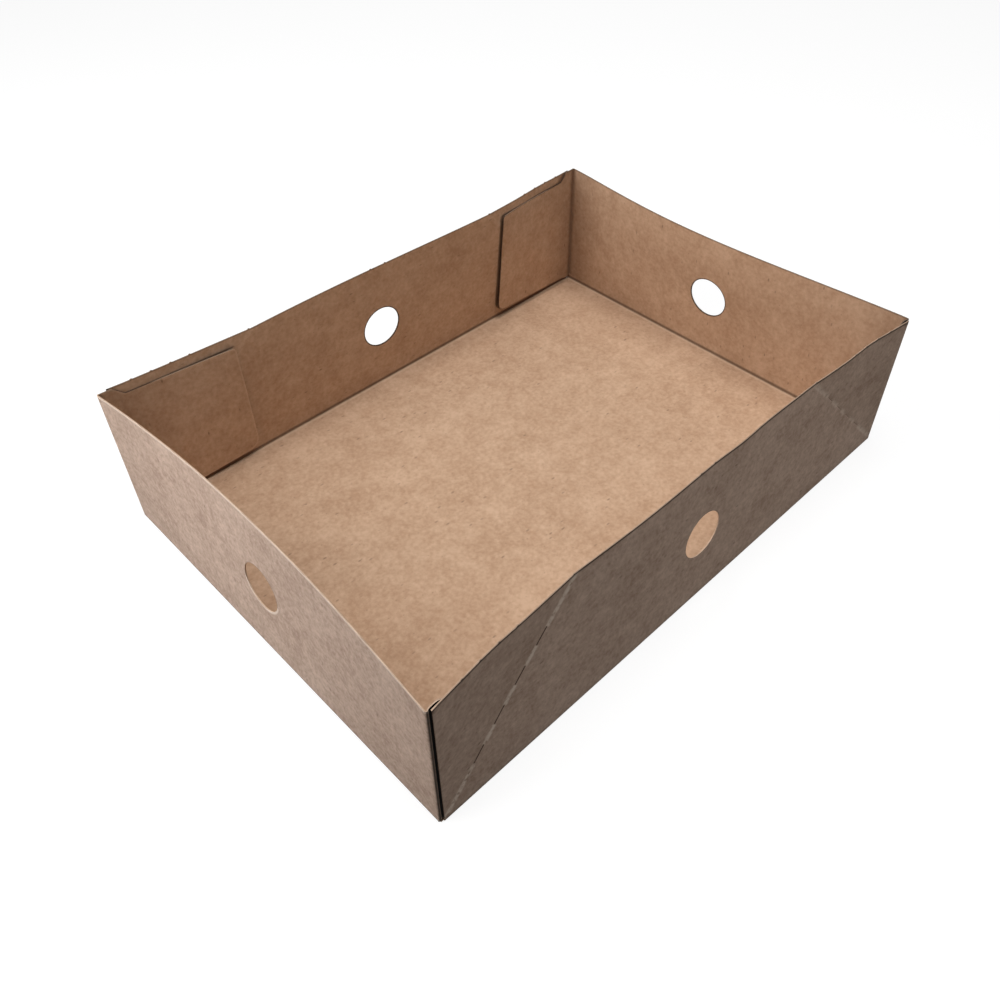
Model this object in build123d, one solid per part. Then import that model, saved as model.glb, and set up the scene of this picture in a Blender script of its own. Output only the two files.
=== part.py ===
# Kraft-board tray, folded and glued from one flat blank.
#
# The base carries four walls. Each short wall goes on round its corners as two
# glue flaps, which lie inside the long walls. Each long wall has a cut crease
# rising at 45 degrees from either bottom corner, on which the tray folds flat:
# the corner triangles keep the flaps, and the panel between them tips inward.
#
# X runs along the long walls, Y along the short ones, Z is up. The origin is
# the middle of the base's underside. All sizes are in millimetres.

from build123d import *
import os

# The tray, over the outside of its board
tray_length = 330.0
tray_width = 240.0
wall_height = 82.0
board = 0.6
fold_inner_radius = 0.2

# How the walls stand at the rim, measured inward from upright
front_lean = 6.6
back_lean = 5.8
short_wall_bow = 7.5

# The round hole in the middle of each wall
hole_radius = 12.5

# Each upright corner: how far a long wall's cut end stops short of it, the gap
# left behind the flap there and how far along that gap closes, and how far the
# fold between short wall and flap ends above the table
cut_end_inset = 1.8
corner_gap = 0.7
gap_run = 5.5
corner_fold_foot = 0.5

# The glue flaps: how far they stop short of the crease's top and how their free
# end slants, how their upper edge steps down from the rim, how their lower edge
# clears the base at the corner, where the gap closes and how it rises from there,
# and how far their foot springs off the wall
flap_short_of_crease = 10.0
flap_slant = 2.0
flap_drop = 5.3
flap_step_start = 7.2
flap_step_run = 5.4
flap_corner_clearance = 0.4
flap_clearance = 1.6
flap_foot_rise = 4.0
flap_corner_radius = 7.0
flap_top_radius = 2.0
flap_spring = 2.4

# The cut crease on each diagonal: how far up it the first slit's middle is, and
# the slits that follow
slit_first = 33.2
slit_count = 4
slit_length = 9.0
slit_bridge = 9.0
slit_width = 0.4

# The nibs left on the long rims where the blank was broken out of its sheet
nib_count = 4
nib_first = 17.5
nib_pitch = 10.1
nib_from_crease = 1.5
nib_from_middle = 5.0
nib_width = 1.4
nib_height = 0.45

# Worked out from these
fold_radius = fold_inner_radius + board
corner_fold_setback = board + corner_gap + fold_radius
hole_height = wall_height / 2
flap_reach = wall_height - flap_short_of_crease
flap_top = wall_height - flap_drop
flap_corner_foot = board + flap_corner_clearance
flap_foot = board + flap_clearance
slit_pitch = slit_length + slit_bridge
through = 4 * (board + flap_spring + max(front_lean, back_lean, short_wall_bow))


def panel(points, direction):
    """A flat piece of board: this outline, one board thick along direction."""
    return extrude(Face(Wire.make_polygon(points)), amount=board, dir=direction)


def fold(plane, run):
    """A right-angled fold along the plane's normal, bulging to its lower left."""
    ring = Circle(fold_radius) - Circle(fold_inner_radius)
    quadrant = Pos(-fold_radius / 2, -fold_radius / 2) * Rectangle(fold_radius, fold_radius)
    return extrude(plane * (ring & quadrant), amount=run)


# On the front wall a place is given by u, its distance from the tray's left end,
# by its height z, and by how far inward of the upright wall plane it lies. The
# back wall is a front wall with its own lean, mirrored.
inward_y = (0, 1, 0)


def on_front(u, z, inward):
    return (u - tray_length / 2, inward - tray_width / 2, z)


def lean_at(lean, rise):
    """Inward travel of a leaning panel this far above, or beside, its fold."""
    return lean * (rise - fold_radius) / (wall_height - fold_radius)


def long_wall_centre(lean):
    """The panel between the two diagonals, tipped inward about the base fold."""
    far_end = tray_length - cut_end_inset
    outline = [
        (cut_end_inset, fold_radius),
        (far_end, fold_radius),
        (far_end, cut_end_inset),
        (tray_length - wall_height, wall_height),
        (wall_height, wall_height),
        (cut_end_inset, cut_end_inset),
    ]
    return panel([on_front(u, z, lean_at(lean, z)) for u, z in outline], inward_y)


def long_wall_corner(lean):
    """The left triangle above the diagonal, turned inward about the corner."""
    outline = [
        (cut_end_inset, cut_end_inset),
        (wall_height, wall_height),
        (cut_end_inset, wall_height),
    ]
    return panel([on_front(u, z, lean_at(lean, u)) for u, z in outline], inward_y)


def diagonal_slits():
    """Cutters for the slits that alternate with bare crease on the left diagonal."""
    middles = [slit_first + i * slit_pitch for i in range(slit_count)]
    up_the_diagonal = Plane(origin=on_front(0, 0, 0), x_dir=(1, 0, 1), z_dir=(0, -1, 0))
    cutter = Box(slit_length, slit_width, through)
    return [up_the_diagonal * Pos(middle, 0, 0) * cutter for middle in middles]


def nib(lean, u, rise_axis):
    """A small stub on the rim at u, in the plane of the panel that carries it."""
    outline = [
        (u - nib_width / 2, wall_height - nib_height),
        (u + nib_width / 2, wall_height - nib_height),
        (u + nib_width / 4, wall_height + nib_height),
        (u - nib_width / 4, wall_height + nib_height),
    ]
    rises = [place[rise_axis] for place in outline]
    points = [on_front(x, z, lean_at(lean, rise)) for (x, z), rise in zip(outline, rises)]
    return panel(points, inward_y)


def nibs(lean):
    """The left half of a long rim's nibs: on the triangle, then on the centre."""
    on_triangle = [nib_first + i * nib_pitch for i in range(nib_count)]
    on_triangle.append(wall_height - nib_from_crease)
    half = [nib(lean, u, 0) for u in on_triangle]
    half.append(nib(lean, tray_length / 2 - nib_from_middle, 1))
    return half


def flap(lean):
    """The left glue flap: a strip off the corner fold, the glued part, and the
    part below the diagonal, which springs off the wall as the wall tips away."""
    bend_shift = gap_run - flap_foot
    bend_end = flap_reach - bend_shift
    corner_inward = board + corner_gap
    joined_inward = board + lean_at(lean, gap_run)
    reach_inward = board + lean_at(lean, flap_reach)
    sprung_inward = board + lean_at(lean, flap_foot) + flap_spring
    strip = [
        on_front(fold_radius, flap_corner_foot, corner_inward),
        on_front(gap_run, flap_corner_foot, joined_inward),
        on_front(gap_run, wall_height, joined_inward),
        on_front(fold_radius, wall_height, corner_inward),
    ]
    glued = [
        on_front(gap_run, flap_foot, joined_inward),
        on_front(flap_reach, bend_end, reach_inward),
        on_front(flap_reach, wall_height, reach_inward),
        on_front(gap_run, wall_height, joined_inward),
    ]
    sprung = [
        on_front(gap_run, flap_foot, joined_inward),
        on_front(flap_reach, flap_foot, sprung_inward),
        on_front(flap_reach, bend_end, reach_inward),
    ]
    sheet = panel(strip, inward_y) + panel(glued, inward_y) + panel(sprung, inward_y)
    return sheet & flap_outline()


def flap_outline():
    """The die-cut shape of a flap, as a block that passes through it."""
    low_corner = (flap_reach, flap_foot + flap_foot_rise)
    top_corner = (flap_reach - flap_slant, flap_top)
    outline = Polygon(
        (0, flap_corner_foot),
        (gap_run, flap_foot),
        low_corner,
        top_corner,
        (flap_step_start + flap_step_run, flap_top),
        (flap_step_start, wall_height),
        (0, wall_height),
        align=None,
    )
    for corner, radius in ((low_corner, flap_corner_radius), (top_corner, flap_top_radius)):
        sharp = outline.vertices().sort_by_distance((*corner, 0))[0]
        outline = fillet(sharp, radius)
    face_on = Plane(origin=on_front(0, 0, 0), x_dir=(1, 0, 0), z_dir=(0, -1, 0))
    return extrude(face_on * outline, amount=through, both=True)


def corner_fold():
    """The upright fold from the short wall to its left front flap."""
    axis = on_front(fold_radius, corner_fold_foot, corner_fold_setback)
    return fold(Plane(origin=axis), wall_height - corner_fold_foot)


def front_side(lean):
    """A long wall with its base fold, and the flaps and corner folds behind it."""
    corner = long_wall_corner(lean)
    wall = long_wall_centre(lean) + corner + mirror(corner, about=Plane.YZ)
    for slit in diagonal_slits():
        wall = wall - slit - mirror(slit, about=Plane.YZ)
    wall -= Pos(*on_front(tray_length / 2, hole_height, 0)) * hole_cutter(Axis.X)
    for stub in nibs(lean):
        wall = wall + stub + mirror(stub, about=Plane.YZ)
    fold_start = on_front(cut_end_inset, fold_radius, fold_radius)
    fold_section = Plane(origin=fold_start, x_dir=inward_y, z_dir=(1, 0, 0))
    base_fold = fold(fold_section, tray_length - 2 * cut_end_inset)
    left_flap = flap(lean) + corner_fold()
    return [wall, base_fold, left_flap, mirror(left_flap, about=Plane.YZ)]


def hole_cutter(turned_about):
    """A round cutter through a wall, laid over from upright about this axis."""
    upright = Cylinder(hole_radius, through)
    return upright.rotate(turned_about, 90)


def left_side():
    """A short wall, straight at its base fold and bowed in at its rim."""
    half_run = tray_width / 2 - corner_fold_setback
    outer = -tray_length / 2
    foot = Edge.make_line((outer, -half_run, fold_radius), (outer, half_run, fold_radius))
    rim = Edge.make_three_point_arc(
        (outer, -half_run, wall_height),
        (outer + short_wall_bow, 0, wall_height),
        (outer, half_run, wall_height),
    )
    outer_face = Face.make_surface_from_curves(foot, rim)
    wall = extrude(outer_face, amount=board, dir=(1, 0, 0))
    wall -= Pos(outer, 0, hole_height) * hole_cutter(Axis.Y)
    fold_start = (outer + fold_radius, half_run, fold_radius)
    fold_section = Plane(origin=fold_start, x_dir=(1, 0, 0), z_dir=(0, -1, 0))
    return [wall, fold(fold_section, 2 * half_run)]


def base():
    """The flat panel between the four base folds."""
    size_x = tray_length - 2 * fold_radius
    size_y = tray_width - 2 * fold_radius
    return Box(size_x, size_y, board, align=(Align.CENTER, Align.CENTER, Align.MIN))


def tray():
    """Every panel and fold, joined into the one folded sheet."""
    front = front_side(front_lean)
    back = [mirror(piece, about=Plane.XZ) for piece in front_side(back_lean)]
    left = left_side()
    right = [mirror(piece, about=Plane.YZ) for piece in left]
    sheet = base()
    for piece in left + right + front + back:
        sheet += piece
    return sheet


os.makedirs("parts", exist_ok=True)
export_step(tray(), "parts/tray.step")
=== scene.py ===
"""The kraft-board tray as one folded sheet, with its board, its light and the camera.

Every point of the sheet has an outer place, an inner place and a place in the flat
blank. Panels are triangulated in their own plane, set where the folded tray has them
and joined along the folds. What is left open is a cut edge, and is closed with one.
Lengths are in millimetres up to the point where the mesh is made.
"""

from math import cos, exp, hypot, log, pi, radians, sin, sqrt, tan

import bmesh
import bpy
import numpy as np
from mathutils import Matrix, Vector, geometry, kdtree, noise

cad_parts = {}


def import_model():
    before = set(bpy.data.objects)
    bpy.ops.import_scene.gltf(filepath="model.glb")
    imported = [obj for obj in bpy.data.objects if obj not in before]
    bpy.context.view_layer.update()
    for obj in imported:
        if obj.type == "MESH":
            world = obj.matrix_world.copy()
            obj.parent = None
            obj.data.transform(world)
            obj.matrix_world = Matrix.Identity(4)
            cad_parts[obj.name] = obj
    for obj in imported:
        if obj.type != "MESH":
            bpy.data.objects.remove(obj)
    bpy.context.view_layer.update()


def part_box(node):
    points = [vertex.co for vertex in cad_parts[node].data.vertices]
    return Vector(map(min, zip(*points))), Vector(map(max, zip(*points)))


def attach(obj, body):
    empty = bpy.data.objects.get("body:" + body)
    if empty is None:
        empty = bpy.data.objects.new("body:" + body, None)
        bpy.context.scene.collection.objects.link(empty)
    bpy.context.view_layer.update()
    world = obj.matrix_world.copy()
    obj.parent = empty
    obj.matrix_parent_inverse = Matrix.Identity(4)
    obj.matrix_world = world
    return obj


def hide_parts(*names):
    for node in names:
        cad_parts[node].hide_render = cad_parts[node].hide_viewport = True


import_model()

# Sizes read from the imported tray
metre = 1000.0
nib_height = 0.45
box_low, box_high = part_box("tray")
half_length = (box_high.x - box_low.x) * metre / 2
half_width = (box_high.y - box_low.y) * metre / 2
wall_height = (box_high.z - box_low.z) * metre - nib_height

# The board and its folds
board = 0.6
fold_inner_radius = 0.2
fold_radius = fold_inner_radius + board
fold_steps = 6
fold_bead = 0.1
fold_run = pi / 2 * (fold_radius + fold_inner_radius) / 2

# The finger holes
hole_radius = 12.5
hole_height = wall_height / 2
hole_points = 56

# The upright corners, and the gap behind each long wall's cut end
cut_end_inset = 2.1
corner_gap = 0.4
gap_run = 7.0
gap_steps = 6
corner_fold_foot = 0.25
corner_fold_setback = board + corner_gap + fold_radius
corner_groove = 0.12

# The glue flaps
flap_short_of_crease = 10.0
flap_reach = wall_height - flap_short_of_crease
flap_slant = 2.0
flap_drop = 5.3
flap_top = wall_height - flap_drop
flap_step_start = 7.2
flap_step_run = 5.4
flap_step_end = flap_step_start + flap_step_run
flap_corner_clearance = 0.4
flap_corner_foot = board + flap_corner_clearance
flap_clearance = 1.6
flap_foot = board + flap_clearance
flap_foot_rise = 4.0
flap_corner_radius = 7.0
flap_top_radius = 2.0
flap_spring = 2.4
flap_hug = 0.04
flap_free_run = 26.0
flap_bend_softness = 1.0
flap_low = flap_corner_foot + (flap_foot - flap_corner_foot) * fold_radius / gap_run

# The cut creases on the diagonals
slit_count = 4
slit_length = 9.0
slit_pitch = 18.0
slit_half_width = 0.2
first_slit = 33.2
slit_middles = [first_slit + i * slit_pitch for i in range(slit_count)]
last_slit = slit_middles[-1]
diagonal_length = wall_height * sqrt(2)
crease_depth = 0.14
crease_half_width = 1.0
crease_band = 2.0
crease_foot = 5.0
crease_sharp = 0.7
crease_soft = 3.5

# The nibs on the long rims
nib_count = 4
nib_first = 17.5
nib_pitch = 10.1
nib_from_crease = 1.5
nib_from_middle = 5.0
nib_width = 1.4

# The board's slow unevenness: how long and high its waves are, how deep, how soon
# they start above a fold, and how far they are held by a corner or by the base's edge
wave_length = 70
wave_height = 45
wave_depth = 0.3
wave_middle = 0.6
wave_onset = 3
bulge_power = 1.5
held_run = 14.0
base_held_run = 30

# Mesh cells, how far they keep clear of edges and lines, how round a cut edge is, and
# what stands for a place that a mark doesn't reach
wall_cell = 3.0
base_cell = 5.0
crease_cell = 2.2
clear_of_edge = 0.62
clear_of_line = 0.45
slit_margin = 0.4
end_margin = 0.4
rim_margin = 1.0
foot_margin = 2.0
merge_within = 1e-5
rounding = 0.01
rim_within = 0.1
least_area = 1e-3
nowhere = 99.0
cut_round = 0.05
cut_corner = 0.2


class LongWall:
    """How one long wall stands: which side, its inward travel at the two creases and
    its slow bulges. Then, each for the left and the right end, how far the flap lifts
    off at its free end, how far it bows off beside its fold, and how far the slits
    stand open. Last, how far either cut end slants away from the corner."""

    def __init__(self, side, leans, hole_shift, bulges, lifts, bows, slits_open, slant, seed):
        self.side, self.seed = side, seed
        self.leans, self.slant, self.bulges = leans, slant, bulges
        self.hole_shift, self.slits_open = hole_shift, slits_open
        self.flap_lifts, self.flap_bows = lifts, bows

    def end(self, z):
        """Distance of the cut ends from the tray's middle at this height."""
        return half_length - cut_end_inset - self.slant * (z - fold_radius) / wall_height

    def lean(self, x):
        """Inward travel at the rim, shading over from one crease to the other."""
        half = half_length - wall_height
        share = min(max((x + half) / (2 * half), 0), 1)
        first, last = self.leans
        return first + (last - first) * share

    def ripple(self, x, z):
        """Slow unevenness of the panel, none at its base fold."""
        rise = max(z - fold_radius, 0) / (wall_height - fold_radius)
        held = (half_length - abs(x)) / held_run
        travel = wave(self.seed, x, z) * min(rise * wave_onset, 1) * min(held, 1)
        for centre, run, depth in self.bulges:
            travel += depth * exp(-(((x - centre) / run) ** 2)) * rise**bulge_power
        return travel

    def inward(self, x, z):
        """Distance of the outer face inward of the upright wall plane."""
        u = half_length - abs(x)
        middle = 2 * min(u, z) / wall_height - 1
        softness = crease_sharp + (crease_soft - crease_sharp) * max(1 - middle * middle, 0)
        rise = soft_min(u, z, softness) - fold_radius
        travel = self.lean(x) * max(rise, 0) / (wall_height - fold_radius)
        return max(travel + self.ripple(x, z), 0)


class ShortWall:
    """How one short wall stands: which side, its bow at the rim, by what share that
    bow is fuller towards the back, and how straight it leaves the corners."""

    def __init__(self, side, bow, skew, hold, seed):
        self.side, self.seed = side, seed
        self.bow, self.skew, self.hold = bow, skew, hold

    def inward(self, y, z):
        """Distance of the outer face inward of the upright wall plane."""
        share = y / (half_width - corner_fold_setback)
        across = max(1 - share**2, 0)
        rise = (z - fold_radius) / (wall_height - fold_radius)
        travel = self.bow * across**self.hold * (1 + self.skew * share) * rise
        return max(travel + wave(self.seed, y, z) * across * min(rise * wave_onset, 1), 0)


def wave(seed, a, b):
    """Slow unevenness of board, inward only, up to about half a millimetre."""
    swell = noise.noise(Vector((a / wave_length, b / wave_height, seed)))
    return wave_depth * (swell + wave_middle)


def soft_min(a, b, softness):
    """The smaller of two lengths, rounded over where they are alike."""
    least = min(a, b)
    return least - softness * log(1 + exp(-abs(a - b) / softness))


front_bulges = [(-132, 17, 0.7), (-42, 43, -1.4), (25, 14, -0.8), (132, 17, 1.2)]
back_bulges = [(-41, 80, -3.4), (132, 17, -0.7)]
front = LongWall(-1, (7.4, 5.7), 1.2, front_bulges, (0.3, 0.3), (0.6, 0.6), (1.4, 0.3), 0.0, 3.0)
back = LongWall(1, (8.3, 6.4), -0.8, back_bulges, (0.5, 1.7), (0.2, 0.2), (1.0, 1.0), 3.2, 11.0)
left = ShortWall(-1, 6.7, 0.15, 1.0, 17.0)
right = ShortWall(1, 7.9, 0.35, 1.4, 23.0)
base_seed = 31.0


class Sheet:
    """The folded board: joined points and faces, before it is given thickness."""

    def __init__(self):
        self.numbers = {}
        self.outer, self.inner, self.blank = [], [], []
        self.crease, self.faces = [], []

    def point(self, outer, inner, blank, crease=(nowhere, 0.0, 0.0)):
        """The number of this point, which is the same for every panel that has it."""
        key = tuple(round(c, 3) for c in (*outer, *inner))
        if key not in self.numbers:
            self.numbers[key] = len(self.outer)
            self.outer.append(Vector(outer))
            self.inner.append(Vector(inner))
            self.blank.append(Vector(blank))
            self.crease.append(crease)
        return self.numbers[key]

    def strip(self, rows):
        """Quads between rows of point numbers."""
        for lower, upper in zip(rows, rows[1:]):
            for i in range(len(lower) - 1):
                self.faces.append((lower[i], lower[i + 1], upper[i + 1], upper[i]))

    def panel(self, outline, holes, lines, place, cell):
        """Triangles inside an outline and outside its holes, set by place(a, b)."""
        loops = [outline, *holes]
        points, edges = [], []
        for loop in loops:
            first = len(points)
            points += loop
            edges += [(first + i, first + (i + 1) % len(loop)) for i in range(len(loop))]
        for line in lines:
            first = len(points)
            points += line
            edges += [(first + i, first + i + 1) for i in range(len(line) - 1)]
        points += filling(outline, holes, lines, cell)
        flat = [Vector(p) for p in points]
        made = geometry.delaunay_2d_cdt(flat, edges, [], 0, merge_within)
        corners, triangles = made[0], made[2]
        pieces = [[corners[i] for i in t] for t in triangles]
        middles = np.array([[sum(p[k] for p in piece) / 3 for k in (0, 1)] for piece in pieces])
        areas = np.array([geometry.area_tri(*piece) for piece in pieces])
        keep = inside(middles, outline) & (areas > least_area)
        for hole in holes:
            keep &= ~inside(middles, hole)
        numbers = [self.point(*place(p[0], p[1])) for p in corners]
        self.faces += [tuple(numbers[i] for i in t) for t, k in zip(triangles, keep) if k]


def inside(points, loop):
    """Which of these points lie within a closed loop."""
    x, y = points[:, 0], points[:, 1]
    result = np.zeros(len(points), bool)
    for (x0, y0), (x1, y1) in zip(loop, loop[1:] + loop[:1]):
        if y0 != y1:
            crosses = (y0 > y) != (y1 > y)
            result ^= crosses & (x < (x1 - x0) * (y - y0) / (y1 - y0) + x0)
    return result


def clear_of(points, chain, distance):
    """Which of these points lie at least this far from every segment of a chain."""
    result = np.ones(len(points), bool)
    for start, end in zip(chain, chain[1:]):
        start, run = np.array(start), np.array(end) - np.array(start)
        share = np.clip((points - start) @ run / max(run @ run, 1e-12), 0, 1)
        nearest = start + share[:, None] * run
        result &= np.hypot(*(points - nearest).T) > distance
    return result


def filling(outline, holes, lines, cell):
    """A staggered grid of points inside an outline, clear of every edge and line."""
    corners = np.array(outline)
    (a0, b0), (a1, b1) = corners.min(0), corners.max(0)
    rows = []
    row_step = cell * sqrt(3) / 2
    for j in range(int((b1 - b0) / row_step) + 1):
        start = a0 + (cell / 2 if j % 2 else 0)
        rows += [(a, b0 + j * row_step) for a in np.arange(start, a1, cell)]
    points = np.array(rows)
    points = points[inside(points, outline)]
    points = points[clear_of(points, outline + outline[:1], cell * clear_of_edge)]
    for hole in holes:
        points = points[~inside(points, hole)]
        points = points[clear_of(points, hole + hole[:1], cell * clear_of_line)]
    for line in lines:
        points = points[clear_of(points, line, cell * clear_of_line)]
    return [tuple(p) for p in points]


def spaced(start, stop, cell):
    """Even steps from start to stop, both included."""
    count = max(1, round(abs(stop - start) / cell))
    return [start + (stop - start) * i / count for i in range(count + 1)]


def divided(corners, cell):
    """A chain through these corners with its long sides divided, up to the last one."""
    chain = []
    for (a0, b0), (a1, b1) in zip(corners, corners[1:]):
        count = max(1, round(hypot(a1 - a0, b1 - b0) / cell))
        chain += [(a0 + (a1 - a0) * i / count, b0 + (b1 - b0) * i / count) for i in range(count)]
    return chain


def circle(a, b, radius, count):
    turns = [2 * pi * i / count for i in range(count)]
    return [(a + radius * cos(t), b + radius * sin(t)) for t in turns]


def rounded(before, corner, after, radius, steps=6):
    """An arc in place of a corner, tangent to both of its sides."""
    before, corner, after = Vector(before), Vector(corner), Vector(after)
    to_before, to_after = (before - corner).normalized(), (after - corner).normalized()
    half_angle = to_before.angle(to_after) / 2
    middle = corner + (to_before + to_after).normalized() * radius / sin(half_angle)
    start = corner + to_before * radius / tan(half_angle) - middle
    end = corner + to_after * radius / tan(half_angle) - middle
    turn = start.angle_signed(end)
    arc = []
    for i in range(steps + 1):
        spoke = start.copy()
        spoke.rotate(Matrix.Rotation(-turn * i / steps, 2))
        arc.append(tuple(middle + spoke))
    return arc


def wall_drop(z):
    """Place of a wall's height in the blank, outward from the tray's edge line."""
    return fold_run - fold_radius + z - fold_radius


seam_heights = [fold_radius, flap_low] + spaced(flap_low, wall_height, wall_cell)[1:]
long_seam = spaced(cut_end_inset - half_length, half_length - cut_end_inset, wall_cell)
half_short_run = half_width - corner_fold_setback
short_seam = spaced(-half_short_run, half_short_run, wall_cell)


def base_panel(sheet):
    """The base, flat along its folds and barely uneven between them."""
    half_x = half_length - fold_radius
    half_y = half_width - fold_radius
    outline = [(-half_x, -half_y)] + [(x, -half_y) for x in long_seam]
    outline += [(half_x, -half_y)] + [(half_x, y) for y in short_seam]
    outline += [(half_x, half_y)] + [(x, half_y) for x in reversed(long_seam)]
    outline += [(-half_x, half_y)] + [(-half_x, y) for y in reversed(short_seam)]

    def place(x, y):
        edge = min(half_x - abs(x), half_y - abs(y))
        rise = wave(base_seed, x, y) * min(max(edge, 0) / base_held_run, 1)
        return (x, y, rise), (x, y, rise + board), (x, y, 0)

    sheet.panel(outline, [], [], place, base_cell)


def folded(turn):
    """How far out and up the two faces of a fold lie, for a turn from 0 to 1."""
    angle = turn * pi / 2
    bead = fold_bead * sin(2 * angle) ** 2
    reach = fold_inner_radius - bead
    outer = (fold_radius * sin(angle), fold_radius * (1 - cos(angle)))
    inner = (reach * sin(angle), fold_radius - reach * cos(angle))
    return outer, inner


def base_fold(sheet, wall, half_size, seam, place):
    """The fold from the base to a wall. From a run along the fold and a distance out
    from the tray's middle, place gives x and y."""
    start = half_size - fold_radius
    rows = []
    for step in range(fold_steps + 1):
        flat = wall.side * (start + fold_run * step / fold_steps)
        row = []
        for along in seam:
            faces = []
            for out, up in folded(step / fold_steps):
                faces.append((*place(along, wall.side * (start + out)), up))
            row.append(sheet.point(*faces, (*place(along, flat), 0)))
        rows.append(row)
    sheet.strip(rows)


def nib_middles():
    """Where the nibs stand along a long rim, from left to right."""
    half = [half_length - nib_first - i * nib_pitch for i in range(nib_count)]
    half.append(half_length - wall_height + nib_from_crease)
    half.append(nib_from_middle)
    return [-x for x in half] + half[::-1]


def slit(wall, end, middle):
    """The outline of one slit on the diagonal of this end, slightly open."""
    half = slit_length / 2
    side = slit_half_width * wall.slits_open[(end + 1) // 2]
    shape = [(-half, 0), (-half / 2, -1), (half / 2, -1), (half, 0), (half / 2, 1), (-half / 2, 1)]
    return [on_diagonal(end, middle + along, across * side) for along, across in shape]


def on_diagonal(end, along, across):
    """A place on a long wall, along and across the diagonal of its left or right end."""
    u = (along - across) / sqrt(2)
    z = (along + across) / sqrt(2)
    return (end * (half_length - u), z)


def crease_lines(end):
    """Rows of points beside a diagonal, and on it where no slit is."""
    lines = []
    for across in (-crease_band, -crease_half_width, crease_half_width, crease_band):
        run = spaced(crease_foot + 1, diagonal_length - crease_foot, crease_cell)
        lines.append([on_diagonal(end, along, across) for along in run])
    ends = [crease_foot]
    for middle in slit_middles:
        ends += [middle - slit_length / 2 - slit_margin, middle + slit_length / 2 + slit_margin]
    ends.append(diagonal_length - rim_margin)
    for start, stop in zip(ends[::2], ends[1::2]):
        lines.append([on_diagonal(end, along, 0) for along in spaced(start, stop, crease_cell)])
    return lines


def crease_place(x, z):
    """Distance across and along the nearer diagonal."""
    u = half_length - abs(x)
    return (z - u) / sqrt(2), (z + u) / sqrt(2)


def long_wall(sheet, wall):
    """A long wall's panels between the base fold, the two cut ends and the rim."""
    end = wall.end(wall_height)
    end_heights = spaced(fold_radius, wall_height, wall_cell)[1:]
    end_heights.insert(-1, wall_height - end_margin)
    outline = [(x, fold_radius) for x in long_seam]
    outline += [(wall.end(z), z) for z in end_heights]
    rim = []
    tip = nib_height - cut_round
    shape = ((-1 / 2, 0), (-1 / 4, tip), (1 / 4, tip), (1 / 2, 0))
    for middle in nib_middles():
        rim += [(middle + share * nib_width, wall_height + rise) for share, rise in shape]
    rim = [(-end, wall_height)] + rim + [(end, wall_height)]
    outline += divided(rim, wall_cell)[::-1]
    outline += [(-wall.end(z), z) for z in reversed(end_heights[:-1])]

    def place(x, z):
        inward = wall.inward(x, z)
        across, along = crease_place(x, z)
        groove = crease_depth * max(1 - abs(across) / crease_half_width, 0)
        outer = (x, wall.side * (half_width - inward - groove), z)
        inner = (x, wall.side * (half_width - inward - board - groove / 2), z)
        flat = wall.side * (half_width + wall_drop(z))
        slit_open = wall.slits_open[0 if x < 0 else 1]
        return outer, inner, (x, flat, 0), (across, along, slit_open)

    holes = [circle(wall.hole_shift, hole_height, hole_radius, hole_points)]
    lines = []
    for side in (-1, 1):
        holes += [slit(wall, side, middle) for middle in slit_middles]
        lines += crease_lines(side)
    sheet.panel(outline, holes, lines, place, wall_cell)


def short_wall(sheet, wall):
    """A short wall, bowed in at the rim."""
    outline = [(y, fold_radius) for y in short_seam]
    outline += [(half_short_run, z) for z in seam_heights[1:]]
    outline += [(y, wall_height) for y in reversed(short_seam[:-1])]
    outline += [(-half_short_run, z) for z in reversed(seam_heights[1:-1])]

    def place(y, z):
        inward = wall.inward(y, z)
        outer = (wall.side * (half_length - inward), y, z)
        inner = (wall.side * (half_length - inward - board), y, z)
        return outer, inner, (wall.side * (half_length + wall_drop(z)), y, 0)

    hole = circle(0, hole_height, hole_radius, hole_points)
    sheet.panel(outline, [hole], [], place, wall_cell)


def corner_fold(sheet, end, side):
    """The upright fold from a short wall to its flap."""
    rows = []
    for step in range(fold_steps + 1):
        angle = step / fold_steps * pi / 2
        across = cos(angle), sin(angle)
        row = []
        for z in [corner_fold_foot] + seam_heights:
            faces = []
            groove = corner_groove * sin(2 * angle) ** 2
            for radius in (fold_radius - groove, fold_inner_radius - groove / 2):
                x = end * (half_length - fold_radius + radius * across[0])
                y = side * (half_width - corner_fold_setback + radius * across[1])
                faces.append((x, y, z))
            flat_y = side * (half_short_run + fold_run * step / fold_steps)
            flat = (end * (half_length + wall_drop(z)), flat_y, 0)
            row.append(sheet.point(*faces, flat))
        rows.append(row)
    sheet.strip(rows)


def flap_inward(wall, end, u, z):
    """How far the flap's outer face lies inward of the upright long wall plane."""
    if u < gap_run:
        share = (u - fold_radius) / (gap_run - fold_radius)
        start = board + corner_gap
        bow = wall.flap_bows[(end + 1) // 2] * (1 - (2 * share - 1) ** 4)
        return start + (flap_inward(wall, end, gap_run, z) - start) * share + bow
    x = end * (half_length - u)
    lean = wall.lean(x) / (wall_height - fold_radius)
    against = board + flap_hug + wall.inward(x, z)
    joined = board + lean * (gap_run - fold_radius)
    reached = board + lean * (flap_reach - fold_radius)
    sprung = board + lean * (flap_foot - fold_radius) + flap_spring
    bend_end = flap_reach - gap_run + flap_foot
    glued = board + lean * (u - fold_radius)
    along = (sprung - joined) * (u - gap_run) / (flap_reach - gap_run)
    up = (reached - sprung) * (z - flap_foot) / (bend_end - flap_foot)
    free = joined + along + up
    towards_end = max(u - flap_reach + flap_free_run, 0) / flap_free_run
    lift = wall.flap_lifts[(end + 1) // 2] * towards_end**2 * min(z / flap_top, 1)
    return max(against, soft_min(glued, free, flap_bend_softness)) + lift


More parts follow.
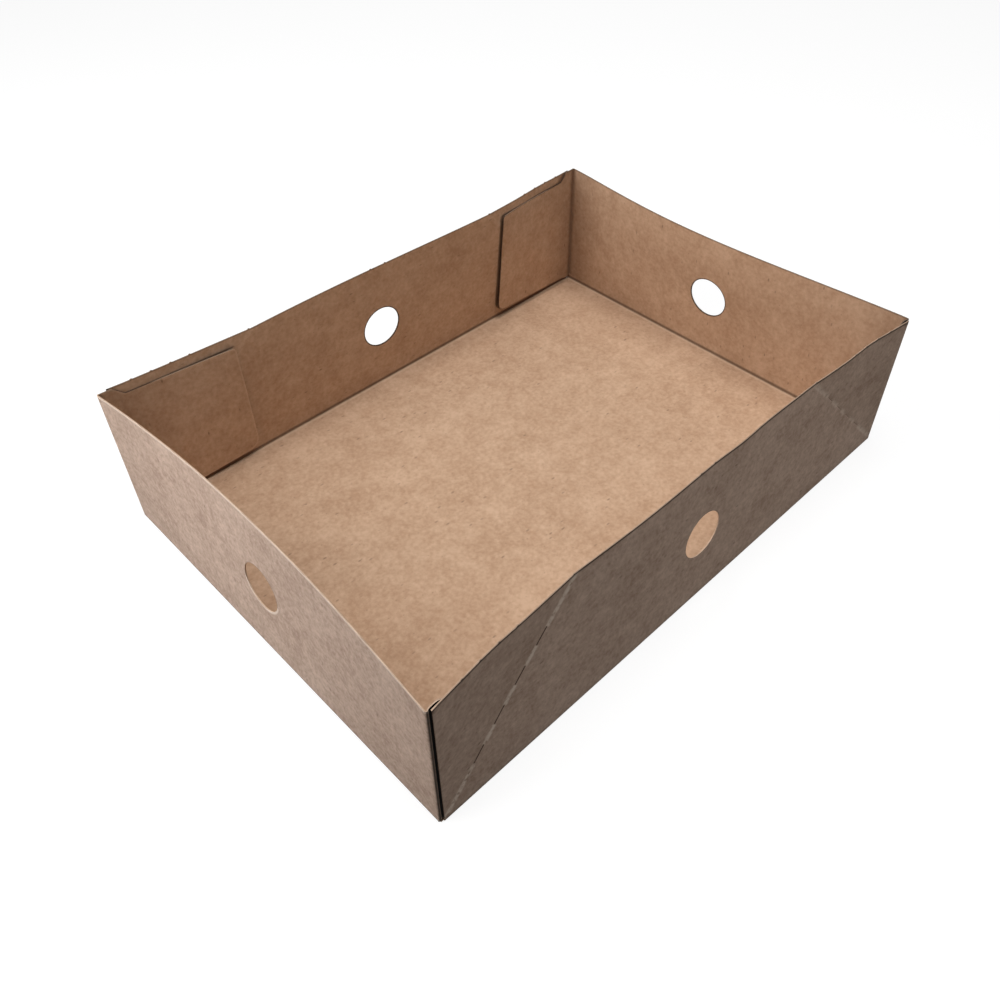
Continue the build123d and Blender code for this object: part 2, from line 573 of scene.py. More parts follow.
def flap(sheet, wall, end):
    """A glue flap, inside the long wall."""
    low_corner = (flap_reach, flap_foot + flap_foot_rise)
    top_corner = (flap_reach - flap_slant, flap_top)
    step_end = (flap_step_end, flap_top)
    step_start = (flap_step_start, wall_height)
    start = (fold_radius, flap_low)
    kink = (gap_run, flap_foot)
    corners = [start, kink]
    corners += rounded(kink, low_corner, top_corner, flap_corner_radius)
    corners += rounded(low_corner, top_corner, step_end, flap_top_radius)
    gap_width = gap_run - fold_radius
    gap_stations = [fold_radius + gap_width * i / gap_steps for i in range(gap_steps)]
    corners += [step_end, step_start] + [(u, wall_height) for u in reversed(gap_stations)]
    loop = divided(corners + corners[:1], wall_cell)
    loop = [p for p in loop if p[0] > fold_radius + merge_within]
    loop += [(fold_radius, z) for z in reversed(seam_heights[1:])]

    def place(u, z):
        inward = flap_inward(wall, end, u, z)
        x = end * (half_length - u)
        outer = (x, wall.side * (half_width - inward), z)
        inner = (x, wall.side * (half_width - inward - board), z)
        flat_y = wall.side * (half_short_run + fold_run + u - fold_radius)
        return outer, inner, (end * (half_length + wall_drop(z)), flat_y, 0)

    gap_lines = []
    for u in gap_stations[1:] + [gap_run]:
        heights = spaced(flap_foot + foot_margin, wall_height - rim_margin, wall_cell)
        gap_lines.append([(u, z) for z in heights])
    sheet.panel(loop, [], gap_lines, place, wall_cell)


def folded_sheet():
    sheet = Sheet()
    base_panel(sheet)
    for wall in (front, back):
        base_fold(sheet, wall, half_width, long_seam, lambda x, y: (x, y))
        long_wall(sheet, wall)
    for wall in (left, right):
        base_fold(sheet, wall, half_length, short_seam, lambda y, x: (x, y))
        short_wall(sheet, wall)
        for long_side in (front, back):
            corner_fold(sheet, wall.side, long_side.side)
            flap(sheet, long_side, wall.side)
    return sheet


def open_edges(sheet):
    """Edges that one face alone has, each with the face's middle."""
    found = {}
    for face in sheet.faces:
        for a, b in zip(face, face[1:] + face[:1]):
            found.setdefault(frozenset((a, b)), []).append((a, b, face))
    return [uses[0] for uses in found.values() if len(uses) == 1]


def board_mesh(sheet):
    """The sheet as a closed solid: outer face, inner face and cut edges."""
    count = len(sheet.outer)
    places = sheet.outer + sheet.inner
    faces = [tuple(face) for face in sheet.faces]
    faces += [tuple(count + i for i in reversed(face)) for face in sheet.faces]
    kinds = [0] * len(sheet.faces) + [1] * len(sheet.faces)
    edges = open_edges(sheet)
    outward = {}
    for a, b, face in edges:
        run = sheet.outer[b] - sheet.outer[a]
        through = sheet.inner[a] - sheet.outer[a]
        away = run.cross(through).normalized()
        middle = sum((sheet.outer[i] for i in face), Vector()) / len(face)
        if away.dot(middle - sheet.outer[a]) > 0:
            away.negate()
        for end in (a, b):
            outward[end] = outward.get(end, Vector()) + away
    rows = {}
    for end, away in outward.items():
        outer, inner = sheet.outer[end], sheet.inner[end]
        push = away.normalized() * cut_round
        rows[end] = (len(places), len(places) + 1)
        places.append(outer.lerp(inner, cut_corner) + push)
        places.append(outer.lerp(inner, 1 - cut_corner) + push)
    for a, b, face in edges:
        ladder_a = (a, *rows[a], count + a)
        ladder_b = (b, *rows[b], count + b)
        for i in range(3):
            faces.append((ladder_b[i], ladder_a[i], ladder_a[i + 1], ladder_b[i + 1]))
            kinds.append(2)
    mesh = bpy.data.meshes.new("folded_board")
    mesh.from_pydata([(p.x / metre, p.y / metre, max(p.z, 0) / metre) for p in places], [], faces)
    mesh.polygons.foreach_set("material_index", kinds)
    carry_marks(mesh, sheet, rows, {end for a, b, face in edges for end in (a, b)})
    shade(mesh)
    return mesh


# The two faces read their noise this far apart
faces_apart = 40

# How much sooner than the gap itself the dark inside it ends: at both right corners, at
# the front left one and at the back left one
gap_ends_early = (1.5, 2.0, 4.0)

# The painted shadow line round a flap: how far below its top it starts, how it widens beside the
# right steps and narrows beside the left ones, and how far back it stays along the free
# end of a flap that lies close to its wall, except at the top
right_line_drop = 0.7
left_line_drop = 0.9
right_step_share = 0.4
left_step_narrowed = 0.8
flap_top_band = 2.0
held_close = 6.0

# How dark the cut edges are, from 0 to 1: painted shade in the slits, darker board with
# painted shade along the flaps, and darker far rims, far holes and near rims
slit_shade = 0.9
step_dirt_and_shade = 0.9
step_dirt_and_shade_run = 25.0
free_end_dirt_and_shade = 0.85
free_end_run = 4.0
flap_dirt_and_shade = 0.6
far_hole_dark = 0.85
far_rim_dark = 0.7
left_rim_dark = 0.8
left_rim_clean = 0.4
front_rim_dark = 0.2
front_rim_rise = 0.7
front_rim_clean = 0.7

# How far the pale rubbed and the darker bands reach
rubbed_free_end = 8.0
rubbed_rim = 8.0
clear_of_far_rim = 18.0
clear_of_hole = 3.0
clear_of_end = 4.0


def carry_marks(mesh, sheet, rows, cut_ends):
    """Attributes that the board's material reads."""
    count = len(sheet.outer)
    cut_ends = sorted(end for end in cut_ends if not on_slit(sheet, end))
    tree = kdtree.KDTree(len(cut_ends))
    for end in cut_ends:
        tree.insert(sheet.blank[end], end)
    tree.balance()
    to_cut = [tree.find(p)[2] for p in sheet.blank]
    source = list(range(count)) * 2
    depth = [0.0] * count + [1.0] * count
    for end in rows:
        source += [end, end]
        depth += [cut_corner, 1 - cut_corner]
    blank = mesh.attributes.new("blank", "FLOAT_VECTOR", "POINT")
    flat = [c for i, d in zip(source, depth) for c in (*sheet.blank[i].xy, faces_apart * round(d))]
    blank.data.foreach_set("vector", flat)
    values = {
        "depth": depth,
        "to_cut": [to_cut[i] for i in source],
        "dirt_and_shade": [cut_dirt_and_shade(sheet, i, d) for i, d in zip(source, depth)],
        "rubbed": [edge_rub(sheet, i) for i in source],
    }
    for part, name in enumerate(("across", "along", "slit_open")):
        values[name] = [sheet.crease[i][part] for i in source]
    for mark in (past_fold, past_corner, from_end, behind_wall, under_flap, past_flap):
        values[mark.__name__] = [mark(sheet.blank[i]) for i in source]
    for name, column in values.items():
        layer = mesh.attributes.new(name, "FLOAT", "POINT")
        layer.data.foreach_set("value", column)


def past_fold(flat):
    """How far past the nearest base fold this point of the blank lies, outward."""
    half_x = half_length - fold_radius + fold_run / 2
    half_y = half_width - fold_radius + fold_run / 2
    return max(abs(flat.x) - half_x, abs(flat.y) - half_y)


def past_corner(flat):
    """How far past its short wall's end fold a point lies, and far off elsewhere."""
    if abs(flat.x) < half_length:
        return -nowhere
    return abs(flat.y) - half_short_run - fold_run / 2


def from_end(flat):
    """How far a long wall's point lies from the foot of its cut end along the wall."""
    if not on_long_wall(flat):
        return nowhere
    right_ones, front_left, back_left = gap_ends_early
    early = right_ones if flat.x > 0 else front_left if flat.y < 0 else back_left
    return half_length - cut_end_inset - abs(flat.x) + early


def on_cut_end(flat):
    wall = back if flat.y > 0 else front
    return on_long_wall(flat) and abs(flat.x) > wall.end(height_on_wall(flat)) - rounding


def behind_wall(flat):
    """How far a flap's point lies behind the cut end of its long wall."""
    if past_corner(flat) < 0:
        return -nowhere
    wall = back if flat.y > 0 else front
    u = past_corner(flat) - fold_run / 2 + fold_radius
    z = abs(flat.x) - half_length - wall_drop(0)
    return u - half_length + wall.end(z)


def past_flap(flat):
    """How far a long wall's point lies past the outline of the flap behind it. The
    free end counts only on the back wall's right, where it stands off the wall."""
    if not on_long_wall(flat):
        return nowhere
    u, z = half_length - abs(flat.x), height_on_wall(flat)
    step = (u - flap_step_end) * (wall_height - flap_top) + (z - flap_top) * flap_step_run
    step /= hypot(wall_height - flap_top, flap_step_run)
    if flat.x > 0:
        above = min(z - flap_top + right_line_drop, right_step_share * step)
    else:
        above = min(z - flap_top + left_line_drop, step + left_step_narrowed)
    below = flap_foot + flap_foot_rise * (u - gap_run) / (flap_reach - gap_run) - z
    free_end = flap_reach - flap_slant * (z - flap_foot) / (flap_top - flap_foot)
    stands_off = (flat.x > 0 and flat.y > 0) or z > flap_top - flap_top_band
    covered = 0.0 if stands_off else held_close
    beside = max(u - free_end + covered + flap_corner_radius, 0)
    beneath = max(below + flap_corner_radius, 0)
    return max(above, hypot(beside, beneath) - flap_corner_radius)


def under_flap(flat):
    """Whether a point of the base lies below the flap that stands off (1) or not (0)."""
    from_side, from_back = half_length - flat.x, half_width - flat.y
    return float(-rim_margin < from_back < from_side < flap_reach)


def on_long_wall(flat):
    return abs(flat.y) > half_width and abs(flat.x) < half_length


def height_on_wall(flat):
    """Height above the table of a long wall's point in the blank."""
    return abs(flat.y) - half_width - wall_drop(0)


def on_slit(sheet, number):
    """Whether this point of the sheet is on the edge of a slit."""
    height = sheet.outer[number].z
    return abs(sheet.crease[number][0]) < 2 * slit_half_width and height < wall_height - rim_margin


def cut_dirt_and_shade(sheet, number, depth):
    """How dark a cut edge is here, from the outer face (0) to the inner one (1)."""
    flat, height = sheet.blank[number], sheet.outer[number].z
    far_wall = max(flat.x - half_length, flat.y - half_width) > 0
    along_flap = past_corner(flat)
    on_rim = height > wall_height - rim_within
    # The upright cut ends lie in the corner gaps and are painted with the gap's shade, except on
    # the front rim
    if on_cut_end(flat):
        return 0.0 if flat.y < 0 and on_rim else 1.0
    # A slit's edges are painted with the shade inside the slit
    if on_slit(sheet, number):
        return slit_shade
    # The flaps' cut edges: darker board, with painted shade where the flaps stand off the wall
    if along_flap > fold_run and not on_rim:
        if flat.y > 0 and along_flap < step_dirt_and_shade_run:
            return step_dirt_and_shade
        on_free_end = flat.x > 0 and along_flap > flap_reach - free_end_run
        return free_end_dirt_and_shade if on_free_end else flap_dirt_and_shade
    if far_wall:
        return far_rim_dark if on_rim else far_hole_dark
    if not on_rim:
        return 0.0
    if flat.x < -half_length:
        return left_rim_dark * max(depth - left_rim_clean, 0)
    return front_rim_dark + front_rim_rise * max(front_rim_clean - depth, 0)


def edge_rub(sheet, number):
    """Whether the outer face is rubbed pale (1) or is darker (-1) along the edge near here."""
    flat, height = sheet.blank[number], sheet.outer[number].z
    if past_corner(flat) > flap_reach - rubbed_free_end and flat.x < 0 < flat.y:
        return 1.0
    far_side = max(flat.x - half_length, flat.y - half_width) > 0
    beside_hole = min(abs(flat.x), abs(flat.y)) < 2 * hole_radius
    if far_side and beside_hole and height < wall_height - clear_of_far_rim:
        return -1.0
    near_rim = height > wall_height - rubbed_rim
    if flat.x < -half_length and (near_rim or height < hole_height - clear_of_hole):
        return 1.0
    if flat.y < -half_width and near_rim:
        beside_end = abs(flat.x) > front.end(height) - clear_of_end
        return 0.0 if beside_end and height < wall_height - rim_margin else -1.0
    return 0.0


def shade(mesh):
    """Faces turned outward and shaded smooth, with the cut edges left crisp."""
    solid = bmesh.new()
    solid.from_mesh(mesh)
    bmesh.ops.recalc_face_normals(solid, faces=solid.faces)
    for face in solid.faces:
        face.smooth = True
    for edge in solid.edges:
        kinds = {face.material_index for face in edge.link_faces}
        edge.smooth = len(kinds) == 1
    solid.to_mesh(mesh)
    solid.free()


class Graph:
    """Short calls for building the nodes of a material or of the world."""

    def __init__(self, owner, shader="Principled BSDF"):
        self.owner = owner
        owner.use_nodes = True
        self.tree = owner.node_tree
        self.shader = self.tree.nodes[shader]

    def node(self, kind, inputs=(), **settings):
        made = self.tree.nodes.new("ShaderNode" + kind)
        for name, value in settings.items():
            setattr(made, name, value)
        for name, value in dict(inputs).items():
            self.feed(made.inputs[name], value)
        return made

    def feed(self, socket, value):
        if isinstance(value, bpy.types.NodeSocket):
            self.tree.links.new(value, socket)
        else:
            socket.default_value = value

    def set(self, name, value):
        self.feed(self.shader.inputs[name], value)

    def bump(self, height, strength):
        inputs = {"Height": height, "Strength": strength, "Distance": bump_height}
        self.set("Normal", self.node("Bump", inputs).outputs[0])

    def mark(self, name, part="Fac"):
        """An attribute that carry_marks has made."""
        return self.node("Attribute", attribute_name=name).outputs[part]

    def math(self, operation, a, b=0.0, c=0.0):
        return self.node("Math", {0: a, 1: b, 2: c}, operation=operation).outputs[0]

    def times(self, a, b):
        return self.math("MULTIPLY", a, b)

    def most(self, a, b):
        return self.math("MAXIMUM", a, b)

    def noise(self, place, size, detail, roughness):
        """Noise from 0 to 1 with features of about this size in millimetres."""
        inputs = {"Vector": place, "Scale": 1 / size, "Detail": detail, "Roughness": roughness}
        return self.node("TexNoise", inputs).outputs[0]

    def turned(self, place, angle, stretch):
        """The place turned in the blank's plane and drawn out along one way."""
        inputs = {"Vector": place, "Rotation": (0, 0, radians(angle))}
        return self.node("Mapping", inputs | {"Scale": (1 / stretch, 1, 1)}).outputs[0]

    def ramp(self, value, low, high, from_value=0.0, to_value=1.0):
        """A smooth step of this value from one height to another."""
        inputs = {"Value": value, "From Min": low, "From Max": high}
        inputs |= {"To Min": from_value, "To Max": to_value}
        return self.node("MapRange", inputs, interpolation_type="SMOOTHSTEP").outputs[0]

    def mix(self, factor, a, b):
        """Two colours mixed. The node has their sockets after those of other kinds."""
        inputs = {0: factor, 6: a, 7: b}
        return self.node("Mix", inputs, data_type="RGBA").outputs[2]


def srgb(red, green, blue):
    """A colour as a screen shows it, from 0 to 255, for a shader."""
    parts = []
    for part in (red, green, blue):
        share = part / 255
        parts.append(share / 12.92 if share <= 0.04045 else ((share + 0.055) / 1.055) ** 2.4)
    return (*parts, 1.0)


class Board:
    """What both faces of the board share: tone, flecks, fibres, worn creases and painted shade in
    their slits.
    """

    def __init__(self, name, pale, deep, scuff, dark, wear, fine):
        self.dark, self.scuff = dark, scuff
        self.g = g = Graph(bpy.data.materials.new(name))
        self.place = g.mark("blank", "Vector")
        self.felt = self.fibres()
        self.layers = {}
        part = fine * felt_share
        tone = g.math("MULTIPLY_ADD", self.felt, part, 0.5 - felt_middle * part)
        for layer, share, look in tone_layers:
            part = fine * share if layer == "grain" else share
            made = self.layers[layer] = g.noise(self.place, *look)
            tone = g.math("ADD", tone, g.math("MULTIPLY_ADD", made, part, -part / 2))
        self.colour = g.mix(tone, deep, pale)
        for kind in flecks:
            self.fleck(*kind)
        self.crease(wear)

    def fibres(self):
        """Long thin fibres that cross each other in four ways."""
        g = self.g
        ways = []
        for angle, stretch, size in fibre_ways:
            ways.append(g.noise(g.turned(self.place, angle, stretch), size, *fibre_look))
        return g.most(g.most(ways[0], ways[1]), g.most(ways[2], ways[3]))

    def fleck(self, spacing, angle, stretch, rarity, strength):
        """Small dark bits in the pulp, about this far apart."""
        g = self.g
        inputs = {"Vector": g.turned(self.place, angle, stretch), "Scale": 1 / spacing}
        cells = g.node("TexVoronoi", inputs)
        near = g.ramp(cells.outputs["Distance"], *fleck_edge, 1, 0)
        chance = g.node("SeparateColor", {"Color": cells.outputs["Color"]}).outputs[0]
        seen = g.times(near, g.ramp(chance, rarity, fleck_full, 0, strength))
        self.colour = g.mix(seen, self.colour, self.dark)

    def crease(self, wear):
        """Rubbed bridges, and painted shade in the slits, along each diagonal."""
        g = self.g
        across = g.math("ABSOLUTE", g.mark("across"))
        along = g.mark("along")
        worn = g.ramp(g.noise(self.place, *wear_patches), *worn_from)
        bridge = g.math("PINGPONG", g.math("SUBTRACT", along, first_slit), slit_pitch / 2)
        beyond = g.math("ABSOLUTE", g.math("SUBTRACT", along, (first_slit + last_slit) / 2))
        beyond = g.math("SUBTRACT", beyond, (last_slit - first_slit) / 2)
        bridge = g.most(bridge, beyond)
        half = slit_length / 2
        bridge = g.ramp(bridge, half - bridge_blend, half + bridge_blend)
        ragged = g.noise(self.place, *rub_rags)
        ragged = g.math("MULTIPLY_ADD", ragged, rub_raggedness, across)
        rub = g.ramp(ragged, *rub_width, 1, 0)
        rub = g.times(rub, g.times(worn, bridge))
        slit_open = g.mark("slit_open")
        rub = g.times(rub, g.math("MULTIPLY_ADD", slit_open, *rub_by_opening))
        self.colour = g.mix(g.times(rub, wear), self.colour, self.scuff)
        # Painted shade in the slits, more as a slit opens, none on the bridges
        gain, start = slit_shade_by_opening
        darkening = g.math("MULTIPLY_ADD", slit_open, wear * gain, wear * start)
        darkening = g.times(darkening, g.ramp(bridge, 0, bridge_blend, 1, 0))
        darkening = g.times(darkening, g.ramp(across, *slit_shade_width, 1, 0))
        self.colour = g.mix(g.math("MINIMUM", darkening, 1.0), self.colour, dark_brown)

    def tint(self, colour, value, middle, low, high, strength):
        """This colour where the value is near the middle, fading from low to high."""
        g = self.g
        away = g.math("ABSOLUTE", g.math("SUBTRACT", value, middle))
        self.colour = g.mix(g.ramp(away, low, high, strength, 0), self.colour, colour)

    def darken(self, *band):
        self.tint(self.dark, *band)

    def rub_edges(self):
        """Along near edges the face is broken pale, or darker."""
        g = self.g
        rubbed = g.mark("rubbed")
        close = g.ramp(g.mark("to_cut"), *rubbed_band, rubbed_most, 0)
        pale = g.times(close, g.most(rubbed, 0.0))
        darker = g.times(close, g.most(g.times(rubbed, -1.0), 0.0))
        self.colour = g.mix(pale, self.colour, self.scuff)
        self.colour = g.mix(darker, self.colour, dark_brown)

    def finish(self):
        g = self.g
        g.set("Base Color", self.colour)
        g.set("Roughness", g.ramp(self.felt, *felt_lit, *felt_roughness))
        g.set("Specular IOR Level", board_gloss)
        height = g.times(self.layers["grain"], bump_grain)
        height = g.math("MULTIPLY_ADD", self.felt, bump_felt, height)
        height = g.math("MULTIPLY_ADD", self.layers["cloud"], bump_cloud, height)
        g.bump(height, bump_board)
        return g.owner


# The layers of the board's tone: how much each counts, and its noise as size, detail
# and roughness
tone_layers = (
    ("mottle", 0.8, (38, 3, 0.5)),
    ("cloud", 1.25, (6.0, 3, 0.6)),
    ("blotch", 0.8, (15, 2, 0.5)),
    ("grain", 0.55, (0.8, 2, 0.6)),
    ("speck", 1.5, (2.2, 2, 0.6)),
)
felt_share = 0.35
felt_middle = 0.62

# The four ways of the fibres: angle, how drawn out, size. The two kinds of fleck: how
# far apart, angle, how drawn out, how rare, how dark
fibre_ways = ((4, 9, 0.55), (-38, 7, 0.5), (47, 8, 0.6), (86, 6, 0.5))
fibre_look = (1.5, 0.5)
flecks = ((3.4, 25, 2.4, 0.62, 0.5), (2.1, -50, 1.5, 0.5, 0.3))
fleck_edge = (0.05, 0.2)
fleck_full = 0.98

# The creases: where they are worn, how ragged and wide the rub is, and how it and the
# painted shade in the slits grow as a slit opens (gain, start)
wear_patches = (3.0, 3, 0.7)
worn_from = (0.34, 0.52)
rub_rags = (1.6, 2, 0.6)
rub_raggedness = 1.6
rub_width = (1.4, 2.9)
rub_by_opening = (0.45, 0.35)
slit_shade_by_opening = (0.9, -0.25)
slit_shade_width = (0.25, 0.6)
bridge_blend = 0.6

# The cut edge's noise, plies and stains
edge_fray = (1.2, 3, 0.65)
edge_stain = (11, 2, 0.5)
ply_count = 9
ply_fray = 4
ply_fade = (0.1, 0.9)
stained_from = (0.5, 0.68)
stain_most = 0.5

# Gloss and bump of the board and of its cut edges
felt_lit = (0.4, 0.75)
felt_roughness = (0.92, 0.8)
edge_roughness = 0.95
board_gloss = 0.2
edge_gloss = 0.1
bump_felt = 0.6
bump_grain = 0.3
bump_cloud = 0.4
bump_board = 0.35
bump_edge = 0.6
bump_height = 0.0001

# Painted black for the gap behind a flap, the broken liner and painted groove shade down a
# corner fold, and dark brown for the slits' painted shade and for darker edges
painted_gap_black = (0.004, 0.003, 0.002, 1.0)
broken_line_and_groove_shade = (0.035, 0.024, 0.017, 1.0)
dark_brown = (0.03, 0.02, 0.014, 1.0)
gap_margin = 0.55

# Bands beside edges and folds: how far past it the middle lies, from where to where
# the band fades, and how strong it is where no mark decides that
outer_cut = (0, 0.1, 0.6, 0.3)
# Painted shade along the outer base folds
outer_fold_shade = (0, 0.3, 1.2, 0.65)
# Broken liner and painted groove shade down the corner folds
outer_corner = (0.4, 0.3, 0.46, 0.85)
# Painted highlight beside the inner base folds
fold_bead_highlight = (-1.6, 0.3, 1.3, 0.35)
# Darker pressed fibre and painted shade in the inner folds
pressed_fold_and_shade = (0.7, 0.5, 2.2, 0.75)
# Painted shade in the inner upright corners
inner_corner_shade = (0, 0.5, 3.6, 0.5)
corner_shade = (0, 2, 32, 0.2)
gap_shade = (0, gap_run - 1, gap_run + 1, 1.0)
# Painted shadow line round each flap
flap_shadow_line = (0, 0.2, 1.6, 0.7)
# Darker inside the cut edges, partly painted shade
inner_cut_shade = (0, 0.1, 0.9)
inner_cut_shade_most = 0.45
inner_dark_band = (0, 0.2, 0.9)
inner_scuff = (0, 0.3, 1.2)
inner_scuff_most = 0.3
# Painted shadow on the base under the flap that stands off
painted_flap_shadow = (-1.4, 1.0, 3.0)
painted_flap_shadow_most = 0.5
rubbed_band = (0.5, 1.6)
rubbed_most = 0.85
behind_fade = (-0.2, 0.1)


def outside_face():
    """The outside: a little greyer, darker along cut edges, with a dark line down each corner fold
    (broken liner and painted groove shade), painted black in the gaps behind the cut ends and
    painted shade along the base folds.
    """
    pale, deep = srgb(210, 186, 170), srgb(170, 145, 129)
    scuff, dark = srgb(234, 217, 202), srgb(84, 66, 54)
    face = Board("kraft_outside", pale, deep, scuff, dark, wear=0.9, fine=1.0)
    g = face.g
    face.darken(g.mark("to_cut"), *outer_cut)
    face.rub_edges()
    # The dark line down each corner fold: its broken liner, with painted shade of its groove
    face.tint(broken_line_and_groove_shade, g.mark("past_corner"), *outer_corner)
    # Painted black shade on the flap's outer face, in the gap behind each long wall's cut end
    behind = g.ramp(g.mark("behind_wall"), *(edge - gap_margin for edge in behind_fade))
    face.colour = g.mix(behind, face.colour, painted_gap_black)
    # Painted shade along the outside of the base folds, where the walls turn down to the floor
    face.darken(g.mark("past_fold"), *outer_fold_shade)
    return face.finish()


def inside_face():
    """The inside: a little warmer, dark in the pressed lines of the folds with painted shade there
    too, a painted highlight beside them, and painted shade and shadow in the corners, the gaps and
    round and under the flaps.
    """
    pale, deep = srgb(206, 174, 146), srgb(180, 146, 118)
    scuff, dark = srgb(224, 196, 168), srgb(86, 62, 45)
    face = Board("kraft_inside", pale, deep, scuff, dark, wear=0.3, fine=0.55)
    g = face.g
    fold, cut, rubbed = g.mark("past_fold"), g.mark("to_cut"), g.mark("rubbed")
    # A painted highlight on the base beside each fold, where the crease's bead rises
    face.tint(scuff, fold, *fold_bead_highlight)
    # The pressed lines of the folds: darker fibre, with painted shade in them too
    face.darken(fold, *pressed_fold_and_shade)
    # Darker along the inside of cut edges, partly painted shade that widens the shadow lines round
    # the flaps; less where the edge is rubbed pale
    scuffed = g.most(rubbed, 0.0)
    shaded = g.math("MULTIPLY_ADD", scuffed, -inner_cut_shade_most, inner_cut_shade_most)
    face.darken(cut, *inner_cut_shade, shaded)
    # Darker along the cut edges where rubbed is negative
    darkening = g.most(g.times(rubbed, -rubbed_most), 0.0)
    face.tint(dark_brown, cut, *inner_dark_band, darkening)
    face.tint(scuff, cut, *inner_scuff, g.times(scuffed, inner_scuff_most))
    corner = g.mark("past_corner")
    # Painted shade in the inside upright corners: a narrow line, then a broad soft shade
    face.darken(corner, *inner_corner_shade)
    face.darken(corner, *corner_shade)
    # A painted shadow on the base under the flap that stands off
    flap_shadow = g.times(g.mark("under_flap"), painted_flap_shadow_most)
    face.darken(fold, *painted_flap_shadow, flap_shadow)
    face.darken(g.mark("from_end"), *gap_shade)
    # A painted shadow line on the wall round each flap
    face.darken(g.most(g.mark("past_flap"), 0.0), *flap_shadow_line)
    return face.finish()


def cut_edge():
    """A cut edge: pale broken core between two brown liners, darker where it is dirty or painted
    with shade.
    """
    g = Graph(bpy.data.materials.new("kraft_cut_edge"))
    fray = g.noise(g.mark("blank", "Vector"), *edge_fray)
    stain = g.noise(g.mark("blank", "Vector"), *edge_stain)
    ply = g.times(g.mark("depth"), ply_count)
    ply = g.math("ADD", ply, g.times(fray, ply_fray))
    ply = g.ramp(g.math("PINGPONG", ply, 1.0), *ply_fade)
    colour = g.mix(ply, srgb(196, 166, 142), srgb(216, 188, 164))
    colour = g.mix(g.ramp(stain, *stained_from, 0, stain_most), colour, srgb(128, 102, 82))
    # Darker cut edges: dirt, and painted shade in the slits, the corner gaps and along the flaps
    colour = g.mix(g.mark("dirt_and_shade"), colour, srgb(34, 21, 13))
    g.set("Base Color", colour)
    g.set("Roughness", edge_roughness)
    g.set("Specular IOR Level", edge_gloss)
    g.bump(fray, bump_edge)
    return g.owner


def placed(name, data):
    """A new object in the scene."""
    made = bpy.data.objects.new(name, data)
    bpy.context.scene.collection.objects.link(made)
    return made


def tray_piece():
    mesh = board_mesh(folded_sheet())
    for material in (outside_face(), inside_face(), cut_edge()):
        mesh.materials.append(material)
    piece = placed("tray_board", mesh)
    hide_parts("tray")
    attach(piece, "root")


def floor():
    """A plain white floor that keeps the tray's shadow and sends little light back."""
    half = 12.0
    mesh = bpy.data.meshes.new("floor")
    corners = [(-half, -half, 0), (half, -half, 0), (half, half, 0), (-half, half, 0)]
    mesh.from_pydata(corners, [], [(0, 1, 2, 3)])
    g = Graph(bpy.data.materials.new("white_floor"))
    path = g.node("LightPath").outputs
    seen = g.most(path["Is Camera Ray"], path["Is Glossy Ray"])
    seen = g.most(seen, path["Is Transmission Ray"])
    grey = (floor_shadow, floor_shadow, floor_shadow, 1)
    g.set("Base Color", g.mix(seen, floor_bounce, grey))
    g.set("Emission Color", (1, 1, 1, 1))
    g.set("Emission Strength", g.times(seen, floor_white - floor_shadow))
    g.set("Roughness", 1.0)
    g.set("Specular IOR Level", 0.0)
    mesh.materials.append(g.owner)
    ground = placed("floor", mesh)


def world():
    """Even light from all round, white where the camera sees it."""
    g = Graph(bpy.data.worlds.new("studio"), "Background")
    bpy.context.scene.world = g.owner
    seen = g.node("LightPath").outputs["Is Camera Ray"]
    strength = g.node("MapRange", {"Value": seen, "To Min": world_light, "To Max": 1.0})
    g.set("Strength", strength.outputs[0])
    g.set("Color", (1, 1, 1, 1))


def lamp(name, kind, place, target, watts, **settings):
    """A soft lamp at one place, aimed at another."""
    data = bpy.data.lights.new(name, kind)
    data.energy = watts
    for setting, value in settings.items():
        setattr(data, setting, value)
    made = placed(name, data)
    made.location = place
    aim = Vector(target) - Vector(place)
    made.rotation_euler = aim.to_track_quat("-Z", "Y").to_euler()


# Light, in metres and watts
world_light = 0.15
floor_bounce = (0.1, 0.085, 0.07, 1)
floor_shadow = 0.25
floor_white = 1.07
tray_middle = (0.0, 0.0, 0.03)

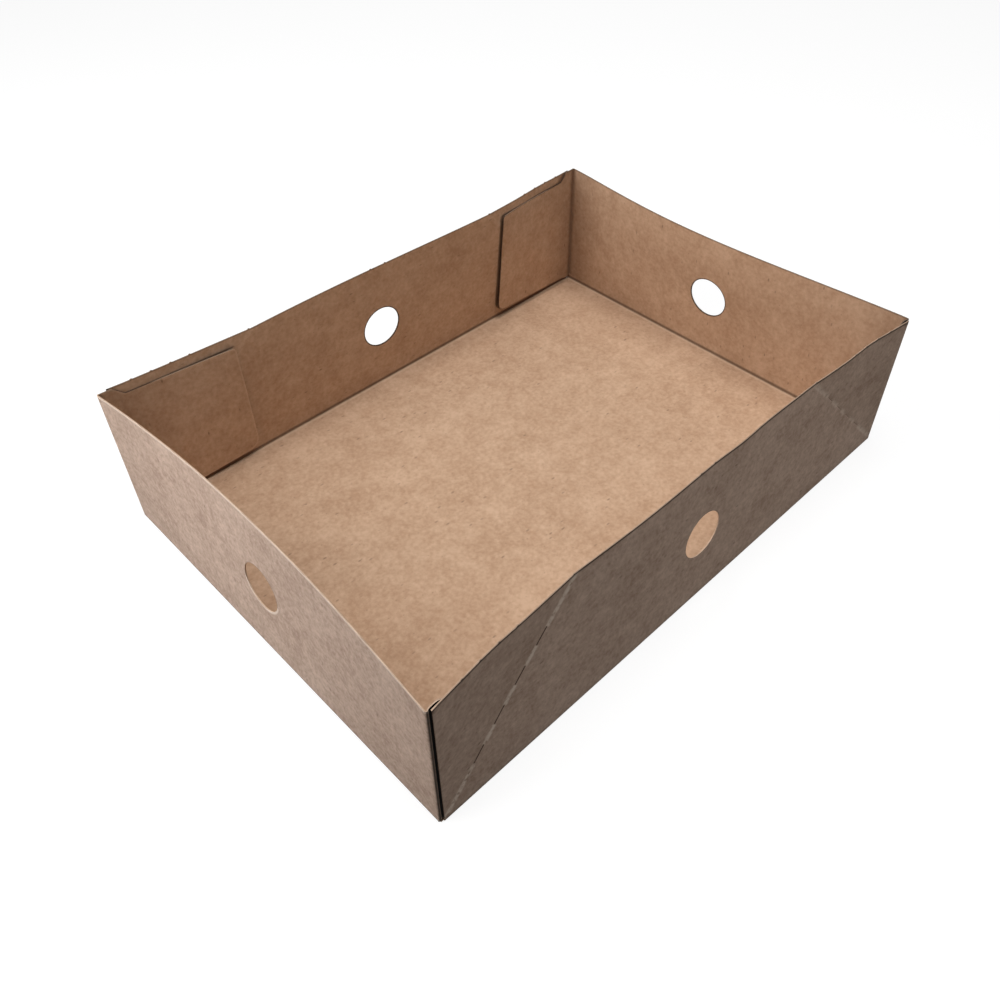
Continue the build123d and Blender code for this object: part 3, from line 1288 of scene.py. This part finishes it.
# The two round soft lamps: place, watts, size
side_lamp = ((-0.6, 0.32, 0.58), 4.3, 0.7)
top_lamp = ((0.08, -0.14, 1.4), 13.0, 1.0)

# Two low spots that fade out towards the near corner, one for each near wall: place,
# aim, watts, angle of the cone in degrees, colour
left_spot = ((-1.1, 0.3, 0.05), (-0.165, 0.06, 0.042), 27.0, 21.5, (1.0, 0.98, 0.96))
right_spot = ((0.6, -1.1, 0.06), (0.07, -0.12, 0.042), 6.5, 26.0, (1.0, 0.93, 0.82))
spot_size = 0.15


def spot(name, place, target, watts, angle, colour):
    """A round spot that fades evenly from its middle to its rim."""
    cone = {"spot_size": radians(angle), "spot_blend": 1.0, "shadow_soft_size": spot_size}
    lamp(name, "SPOT", place, target, watts, color=colour, **cone)


def lights():
    for name, (place, watts, size) in (("side", side_lamp), ("top", top_lamp)):
        lamp(name, "AREA", place, tray_middle, watts, shape="DISK", size=size)
    spot("left_spot", *left_spot)
    spot("right_spot", *right_spot)


# The camera, from the photograph's vanishing points
camera_place = (-0.262019, -0.261276, 0.360760)
camera_azimuth = -44.629
camera_elevation = 43.927
camera_roll = 0.024
focal_pixels = 929.058
middle_pixels = (516.764, 468.034)
frame_pixels = 1000.0


def camera():
    data = bpy.data.cameras.new("camera")
    data.sensor_width = 36.0
    data.lens = focal_pixels / frame_pixels * data.sensor_width
    data.shift_x = (frame_pixels / 2 - middle_pixels[0]) / frame_pixels
    data.shift_y = (middle_pixels[1] - frame_pixels / 2) / frame_pixels
    data.clip_start = 0.01
    data.clip_end = 100.0
    made = placed("camera", data)
    turn = radians(camera_azimuth)
    rise = radians(camera_elevation)
    level = cos(rise)
    behind = Vector((sin(turn) * level, -cos(turn) * level, sin(rise)))
    right_way = Vector((cos(turn), sin(turn), 0))
    upward = behind.cross(right_way)
    axes = Matrix((right_way, upward, behind)).transposed()
    rolled = axes @ Matrix.Rotation(radians(camera_roll), 3, "Z")
    made.matrix_world = Matrix.Translation(camera_place) @ rolled.to_4x4()
    bpy.context.scene.camera = made


bpy.context.scene.view_settings.view_transform = "Standard"
tray_piece()
floor()
world()
lights()
camera()
